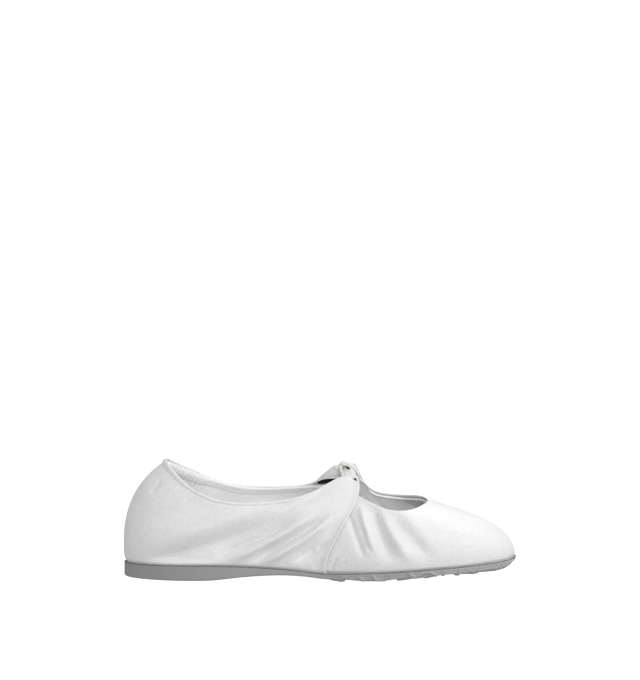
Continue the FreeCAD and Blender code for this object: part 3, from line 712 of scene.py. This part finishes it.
# -------- stitches
def stitch_row(name, line, out, finish, pitch, length, radius):
    """Separate stitches along points in the drawing, each a small rounded thread that dips at its ends."""
    around, sections = 8, 7
    steps = np.concatenate([[0], np.cumsum(np.linalg.norm(np.diff(line, axis=0), axis=1))])
    count = int(steps[-1] / pitch)
    verts, faces = [], []
    for k in range(count):
        mid = (k + 0.5) * steps[-1] / count
        q = mid + np.linspace(-length / 2, length / 2, sections)
        c = np.stack([np.interp(q, steps, line[:, a]) for a in range(3)], -1)
        n = unit(np.stack([np.interp(q, steps, out[:, a]) for a in range(3)], -1))
        ahead = unit(np.gradient(c, axis=0))
        side = unit(np.cross(ahead, n))
        u = np.linspace(-1, 1, sections)
        c = c - n * (radius * 0.9 * u ** 4)[:, None]
        size = radius * np.sqrt(np.maximum(0.03, 1 - 0.9 * u ** 4))
        a = np.linspace(0, 2 * math.pi, around, endpoint=False)
        ring = (c[:, None] + side[:, None] * (size[:, None] * np.cos(a))[..., None]
                + n[:, None] * (size[:, None] * np.sin(a))[..., None])
        start = len(verts) * sections * around
        verts.append(ring.reshape(-1, 3))
        faces.append(grid_faces(sections, around, wrap_n=True) + start)
    obj = make_object(name, to_row(np.concatenate(verts)), np.concatenate(faces), finish)
    return mend(obj, sides=around, round_ends=False)


def inner_line(net, s, distance, depth, lift=None):
    """Points that far below the topline and inside the net, and the directions into the shoe there."""
    t = from_top(net, s, distance)
    base = net(s, t)
    out = net.axes(s, t)[2]
    p = base - out * depth
    if lift is not None:
        p = p + out * lift(s, t, base)[..., None]
    return p, -out


s_row = np.linspace(0.12, 0.91, 1100)
below, inside = TOPLINE_STITCH_PLACE
line, out = inner_line(lining_net, s_row, below, inside, facing_lift)
place(stitch_row("topline_stitches", line, out, THREAD, **TOPLINE_STITCH), "topline_stitching", "thread")

s_row = np.linspace(0.21, 0.85, 660)
below, inside = THROAT_STITCH_PLACE
line, out = inner_line(vamp_net, s_row, below + wing_drop(s_row), (inside - wing_thinning(s_row))[:, None])
place(stitch_row("throat_stitches", line, out, THREAD, **THROAT_STITCH), "throat_stitching", "thread")


# -------- knot
def swept(name, path, wides, highs, across, finish, wrinkle=None, sections=90, around=72, power=2.4):
    """A soft strip along a path. Its section is a rounded rectangle, wide along across, maybe wrinkled."""
    rounded = 7  # sections that round each end
    line = through(path)
    q = np.linspace(0, 1, sections)
    c = line(q)
    ahead = unit(np.gradient(c, axis=0))
    across = np.asarray(across(q) if callable(across) else np.broadcast_to(across, c.shape), float)
    side = unit(across - ahead * (across * ahead).sum(-1, keepdims=True))
    up = np.cross(ahead, side)
    wide = np.interp(q, np.linspace(0, 1, len(wides)), wides) / 2
    high = np.interp(q, np.linspace(0, 1, len(highs)), highs) / 2
    a = np.linspace(0, 2 * math.pi, around, endpoint=False)
    x = np.sign(np.cos(a)) * np.abs(np.cos(a)) ** (2 / power)
    y = np.sign(np.sin(a)) * np.abs(np.sin(a)) ** (2 / power)
    cap = np.ones(sections)
    cap[:rounded] = np.sqrt(1 - np.linspace(1, 0, rounded, endpoint=False) ** 2) * 0.97 + 0.03
    cap[-rounded:] = cap[:rounded][::-1]
    Q, A = np.meshgrid(q, a, indexing="ij")
    grow = 1 + (wrinkle(Q, A) if wrinkle is not None else 0)
    p = (c[:, None] + side[:, None] * (wide[:, None] * x[None] * cap[:, None] * grow)[..., None]
         + up[:, None] * (high[:, None] * y[None] * cap[:, None] * grow)[..., None])
    return mend(make_object(name, to_row(p), grid_faces(sections, around, wrap_n=True), finish), sides=around)


def strap_wrinkle(q, a):
    """Lengthwise gathers, deeper towards the loop."""
    return (0.10 * np.sin(5 * a + 3.0 * q) * smooth((q - 0.35) / 0.2) + 0.05 * np.sin(9 * a - 5 * q + 1.0)
            + 0.05 * np.sin(3 * a + 9 * q))


strap = swept("instep_strap_gathered",
              [(19.2, -7.6, 58.5), (19.0, -6.8, 62.0), (18.4, -5.4, 65.0), (17.5, -2.0, 67.2),
               (16.6, 1.8, 67.4), (15.4, 4.6, 66.2)],
              [9.4, 9.8, 9.2, 7.6, 7.0, 7.0], [3.2, 4.0, 4.8, 5.4, 5.6, 4.4],
              lambda q: np.stack([np.cos(0.7 * q), 0 * q, np.sin(0.7 * q)], -1), WHITE, strap_wrinkle)
place(strap, "instep_strap", "upper_leather")

# x, y and w of the lower and upper edges of the strap's medial end, from the far topline to the loop
FAN_LOWER = [(-2.9, 15.2, 58.9), (0.6, 12.6, 60.7), (5.1, 9.2, 61.7), (10.0, 6.4, 61.9), (14.2, 4.4, 62.3)]
FAN_UPPER = [(-3.4, 17, 59.4), (0.9, 15, 63.6), (5.5, 12.8, 67.4), (9.1, 10.9, 69.9), (14.4, 8.2, 70.6)]
FAN_CENTRE = (14.6, 64.3)  # x and w where its pleats run together
FAN_BACK = (0.15, 0.9, 0.25)  # from its face to its back, in mm


def wing_fan():
    """The strap's medial end, which spreads from under the loop down to the far topline in pleats."""
    q, v = np.meshgrid(np.linspace(0, 1, 90), np.linspace(0, 1, 60), indexing="ij")
    p = through(FAN_LOWER)(q) * (1 - v)[..., None] + through(FAN_UPPER)(q) * v[..., None]
    back, up = FAN_CENTRE[0] - p[..., 0], p[..., 2] - FAN_CENTRE[1]
    angle = np.arctan2(up, back)
    pleats = (np.sin(8.5 * angle + 0.6) + 0.5 * np.sin(14.0 * angle + 2.0)) * hump(np.hypot(up, back), 9.0)
    swell = 0.9 * np.sin(math.pi * v) * np.sin(math.pi * np.clip(q * 1.1, 0, 1))
    p[..., 1] -= 0.55 * pleats + swell
    p[..., 2] -= p[..., 1] * TILT
    grid = np.concatenate([p, (p + np.array(FAN_BACK))[:, ::-1]], axis=1)
    obj = make_object("medial_wing_pleats", to_row(grid), grid_faces(*grid.shape[:2], wrap_n=True), WHITE)
    return mend(mend(obj, sides=0), 2e-6, 2e-6)


place(wing_fan(), "instep_strap", "upper_leather")


def loop_wrinkle(q, a):
    """Soft waves, and one deep crease across the loop's lateral face."""
    waves = 0.05 * np.sin(3 * a + 5 * q) + 0.03 * np.sin(7 * a - 9 * q)
    from_face = a - math.pi
    return waves - 0.30 * hump(q - 0.735 - 0.03 * from_face, 0.016) * hump(from_face, 0.9)


loop = swept("knot_loop_band",
             [(24.6, 5.6, 58.6), (24.4, 4.8, 61.6), (23.7, 3.2, 64.6), (22.5, 1.6, 67.0), (20.8, 0.6, 69.0),
              (18.4, 0, 70.8), (15.9, 0, 71.7), (14.2, 0, 70.9), (13.6, 0, 69.2), (14.2, 0, 66.6),
              (15.6, 0, 64.2)],
             [6.4, 7.4, 8.6, 9.4, 10.0, 10.4, 10.4, 10.2, 9.8, 9.2, 8.4],
             [2.2, 2.7, 3.1, 3.3, 3.4, 3.4, 3.4, 3.4, 3.3, 3.0, 2.6],
             (0, 1, 0), CREAM, loop_wrinkle, sections=150, power=3.2)
place(loop, "knot_loop", "loop_leather")

# the heel's elastic follows the topline inside its tunnel
s_elastic, t_elastic = np.linspace(0.33, 0.67, 17), 0.985
elastic_path = (quarter_net(s_elastic, t_elastic)
                - quarter_net.axes(s_elastic, t_elastic)[2] * (LEATHER + 0.05 + ELASTIC_WIDTH / 2))
place(swept("heel_elastic_cord", elastic_path, [ELASTIC_WIDTH] * 2, [ELASTIC_WIDTH] * 2, (0, 0, 1), ELASTIC,
            sections=160, around=20, power=2.0), "heel_elastic", "elastic")

# a black strip painted as the shadow in the gap inside the loop
loop_gap = swept("knot_loop_gap_painted_shadow",
                 [(16.0, -5.3, 69.9), (17.2, -5.3, 69.9), (18.9, -5.3, 68.9), (20.2, -5.2, 67.9),
                  (20.9, -5.2, 67.1)],
                 [0.6, 1.4, 1.6, 1.4, 0.6], [0.25, 1.0, 1.3, 0.9, 0.25], (0, 1, 0), SHADOW_BLACK,
                 sections=30, around=20)
place(loop_gap, "knot_loop", "loop_leather")


# -------- sock lining
SOCK_INSET, SOCK_HEIGHT, SOCK_THICK = 2.6, 6.5, 1.0  # inside and above the feather line


def sock_dish(p, f):
    """How far the pad rises at points p, f of the way from its spine to its rim."""
    cup = 1.6 * smooth((f - 0.72) / 0.28) ** 2
    arch_side = 1.2 * hump(p[:, 0] + 20, 26) * smooth((p[:, 1] - 4) / 18)
    return cup + arch_side - (0.5 * hump(p[:, 0] - 55, 26) + 0.7 * hump(p[:, 0] + 92, 18)) * (1 - f)


def sock_pad():
    """A cushion on the feather line's plan, its edge rounded."""
    half = SOCK_THICK / 2
    u = np.linspace(0, ROUND, 420, endpoint=False)
    spine_x = np.clip(feather(u, SOCK_INSET)[:, 0] * 0.86, -100, 98)
    spine = np.stack([spine_x, 0.03 * spine_x, feather_z(spine_x)], -1)
    layers = []
    for cap in np.radians(np.linspace(-90, 90, 9)):
        rim = feather(u, SOCK_INSET + half * (1 - math.cos(cap)))
        rim[:, 2] += SOCK_HEIGHT - half + half * math.sin(cap) + sock_dish(rim, np.ones(len(rim)))
        layers.append(rim)
    rim = feather(u, SOCK_INSET + half)
    for f in (np.linspace(1, 0, 26) ** 0.8)[1:]:
        p = spine * (1 - f) + rim * f
        p[:, 2] = feather_z(p[:, 0]) + SOCK_HEIGHT + sock_dish(p, np.full(len(p), f))
        layers.append(p)
    faces = grid_faces(len(u), len(layers), wrap_m=True)
    return mend(make_object("sock_lining_pad", to_row(np.stack(layers, 1)), faces, SOCK), 2e-5, 2e-5)


sock = place(sock_pad(), "sock_lining", "sock_lining")

# -------- outsole
BALL_CENTRE, TOE_CENTRE = (38, -4.0), (99.0, 2.0)  # x and y of the rings of lugs underneath
BALL_PITCH, TOE_PITCH, LUG_WIDTH = 8.6, 6.192, 2.4
UNDER_LUG, EDGE_LUG = 1.15, 0.7  # how far lugs stand out underneath and under the edge
SOLE_REACH = 0.35  # the wall stands this far outside the feather line
WALL_SLOPE = 0.35  # and slopes in by this in front of the heel
TOP_ROUND, BOTTOM_ROUND = 0.7, 1.15  # radii of its edges
TOP_INSET = 9.0  # where its top face ends, under the upper
# x at the sole's lower edge, lean, width and height reached of ribs that wrap up the side wall
RIBS = [(13.2, 1, 2.2, 2.6), (27.6, -1, 2.6, 2.6), (78.4, 0.25, 1.7, 4), (88.2, 0.15, 2, 4.2),
        (93.6, 0.3, 1.2, 3.2), (98, 0.7, 1.6, 3.6), (112.6, 0.9, 1.3, 4.4), (115.4, 0.9, 1.3, 4.4),
        (118.2, 1, 1.3, 4.4), (120.8, 1, 1.2, 4.4)]
# curved lugs, cut by the edge: centre x and height above the edge, radius, width, first and last x
ARCS = [(39, 5.6, 5.8, 1.3, 31.5, 46.5), (64, 8.4, 9, 1.5, 47, 69),
        (68, -5.5, 8, 1.4, 58.5, 76)]


def pulse(value, width, edge=0.35):
    """1 over a width about 0, with soft edges."""
    return smooth((width / 2 + edge / 2 - np.abs(value)) / edge)


def ring_lugs(x, y, centre, first, pitch):
    """1 on rings round a centre, the first of them at that radius."""
    r = np.hypot(x - centre[0], y - centre[1])
    return pulse(np.mod(r - first + pitch / 2, pitch) - pitch / 2, LUG_WIDTH)


def tread(x, y):
    """1 on a lug of the sole's underside and 0 between lugs."""
    ball = ring_lugs(x, y, BALL_CENTRE, 3, BALL_PITCH) * smooth((x - 4) * 2) * smooth((79 - x) * 2)
    return np.maximum(ball, ring_lugs(x, y, TOE_CENTRE, 2, TOE_PITCH) * smooth((x - 85) * 2))


def side_lugs(x, h):
    """1 on a lug of the side wall, at heights h above its lower edge."""
    out = np.zeros_like(x)
    for at, lean, width, top in RIBS:
        out = np.maximum(out, pulse(x - at - lean * h, width, 0.5) * smooth((top - h) / 0.6))
    for cx, ch, radius, width, first, last in ARCS:
        ring = pulse(np.hypot(x - cx, h - ch) - radius, width, 0.5)
        out = np.maximum(out, ring * smooth((x - first) * 1.5) * smooth((last - x) * 1.5))
    return out


def build_outsole():
    """Layers from the top face over the wall and its round lower edge to the middle of the underside."""
    u = np.linspace(0, ROUND, 900, endpoint=False)
    layers = [feather(u, TOP_INSET) - (0, 0, 0.4)]
    for a in np.radians([0, 30, 60, 90]):
        layers.append(feather(u, TOP_ROUND * (1 - math.sin(a)) - SOLE_REACH)
                      + (0, 0, 0.1 - TOP_ROUND * (1 - math.cos(a))))
    rim = feather(u, -SOLE_REACH)
    x, top, bottom = rim[:, 0], rim[:, 2] - 0.6, bottom_z(rim[:, 0])
    fore = smooth((x - 2) / 6)  # 0 at the heel, whose wall is plain
    for f in np.linspace(0, 1, 16)[1:]:
        z = top + (bottom + BOTTOM_ROUND - top) * f
        p = feather(u, WALL_SLOPE * smooth(f * 1.2) * fore - SOLE_REACH - side_lugs(x, z - bottom) * fore)
        p[:, 2] = z
        layers.append(p)
    for a in np.radians(np.linspace(0, 90, 7))[1:]:
        h = BOTTOM_ROUND * (1 - math.sin(a))
        lug = side_lugs(x, np.full_like(x, h)) * fore
        p = feather(u, WALL_SLOPE * fore - SOLE_REACH + BOTTOM_ROUND * (1 - math.cos(a))
                    - lug * (1 - math.sin(a) * 0.5))
        p[:, 2] = bottom + h - EDGE_LUG * lug * math.sin(a)
        layers.append(p)
    edge = feather(u, WALL_SLOPE * fore - SOLE_REACH + BOTTOM_ROUND)
    spine_x = np.clip(edge[:, 0] * 0.9, -112, 112)
    spine = np.stack([spine_x, np.full_like(spine_x, -1.0), 0 * spine_x], -1)
    for f in np.linspace(1, 0, 46)[1:]:
        p = spine * (1 - f) + edge * f
        at_edge = 1 - smooth((1 - f) * 30)
        lugs = UNDER_LUG * tread(p[:, 0], p[:, 1]) + EDGE_LUG * at_edge * side_lugs(x, np.zeros(len(u)))
        p[:, 2] = np.maximum(bottom_z(p[:, 0]) - lugs * smooth((p[:, 0] - 2) / 4), 0.0)
        layers.append(p)
    faces = grid_faces(len(u), len(layers), wrap_m=True)
    return mend(make_object("outsole_rubber", to_row(np.stack(layers, 1)), faces, SOLE), 2e-5, sides=0)


def crevice_shadow_line():
    """A dark ring painted as the shadow in the crevice between the upper and the sole's top edge."""
    u = np.linspace(0, ROUND, 900, endpoint=False)
    rings = [feather(u, 0.05 - 0.32 * math.cos(a)) + (0, 0, 0.3 * math.sin(a) - 0.18)
             for a in np.linspace(0, 2 * math.pi, 10, endpoint=False)]
    faces = grid_faces(len(u), len(rings), wrap_m=True, wrap_n=True)
    return mend(make_object("feather_line_painted_shadow", to_row(np.stack(rings, 1)), faces, CREVICE_SHADE), 2e-6, 2e-6)


# a dark ring painted as the shadow in the crevice above the sole
place(crevice_shadow_line(), "outsole", "outsole")
place(build_outsole(), "outsole", "outsole")

# -------- hidden pieces keep their CAD shape
STEEL, tree, coords, shader = material("spring_steel", (0.5, 0.51, 0.53), 0.35)
join(tree, shader, {"Metallic": 1.0,
                    "Roughness": remap(tree, noise(tree, coords, 300.0), 0.3, 0.7, 0.28, 0.45)})
HIDDEN = {
    "shank": STEEL,
    "bottom_filler": cloth("felt", (0.55, 0.5, 0.42), (0.45, 0.4, 0.33), 0.95, 700.0),
    "insole_board": cloth("fibre_board", (0.42, 0.33, 0.22), (0.34, 0.26, 0.17), 0.9, 500.0),
    "footbed_foam": cloth("foam", (0.8, 0.78, 0.72), (0.72, 0.7, 0.64), 0.95, 1400.0),
}
for node, finish in HIDDEN.items():
    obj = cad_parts[node]
    obj.data.materials.clear()
    obj.data.materials.append(finish)

# -------- floor, lights and camera
bpy.context.scene.view_settings.view_transform = "Standard"
FLOOR_HALF = 12.0
floor_mesh = bpy.data.meshes.new("floor")
corners = [(x * FLOOR_HALF, y * FLOOR_HALF, 0) for x, y in ((-1, -1), (1, -1), (1, 1), (-1, 1))]
floor_mesh.from_pydata(corners, [], [(0, 1, 2, 3)])
floor = bpy.data.objects.new("floor", floor_mesh)
bpy.context.collection.objects.link(floor)
paper, tree, coords, shader = material("floor_paper", (0.3, 0.3, 0.3), 0.9, specular=0.0)
join(tree, shader, {"Emission Color": (1, 1, 1, 1), "Emission Strength": 1.0})
floor_mesh.materials.append(paper)
floor.visible_diffuse = False  # the paper shows white but throws no light up onto the shoe
floor.visible_glossy = False

world = bpy.data.worlds.new("studio")
bpy.context.scene.world = world
world.use_nodes = True
# the backdrop is white, and lights the shoe more softly than it shows
sky = world.node_tree
seen = add(sky, "LightPath", "Is Camera Ray", {})
join(sky, sky.nodes["Background"], {"Color": (1, 1, 1, 1), "Strength": remap(sky, seen, 0, 1, 0.557, 1.06)})


def area_light(name, where, target, size, power):
    """A square light that faces its target and isn't seen itself."""
    light = bpy.data.lights.new(name, "AREA")
    light.size = size
    light.energy = power
    obj = bpy.data.objects.new(name, light)
    bpy.context.collection.objects.link(obj)
    obj.location = where
    aim = np.array(target) - np.array(where)
    obj.rotation_euler = mathutils.Vector(aim).to_track_quat("-Z", "Y").to_euler()
    obj.visible_camera = False
    return obj


area_light("key", (1.5, -0.7, 1.3), (0.03, 0.0, 0.03), 0.5, 16.5)
area_light("front", (0.1, -2.0, 0.9), (-0.02, 0.0, 0.03), 0.6, 15.0)
area_light("back", (0.3, 1.2, 1.6), (0.0, 0.0, 0.03), 0.6, 12.4)

SCALE = 0.6378 * MM  # one image pixel at the shoe, in metres
LENS, SENSOR, TALL = 300.0, 36.0, 680
DISTANCE = SCALE * TALL * LENS / SENSOR
BELOW_CENTRE = 180.5 * SCALE  # the shoe's middle lies this far below the middle of the image
AIM = np.array([0.0007, 0.0013, 0.0349])
camera = bpy.data.objects.new("camera", bpy.data.cameras.new("camera"))
bpy.context.collection.objects.link(camera)
camera.data.lens = LENS
camera.data.sensor_width = SENSOR
camera.location = AIM + DISTANCE * np.array([0, -math.cos(ELEVATION), math.sin(ELEVATION)])
pitch = ELEVATION - math.atan(BELOW_CENTRE / DISTANCE)
camera.rotation_euler = (math.radians(90) - pitch, 0, 0)
bpy.context.scene.camera = camera
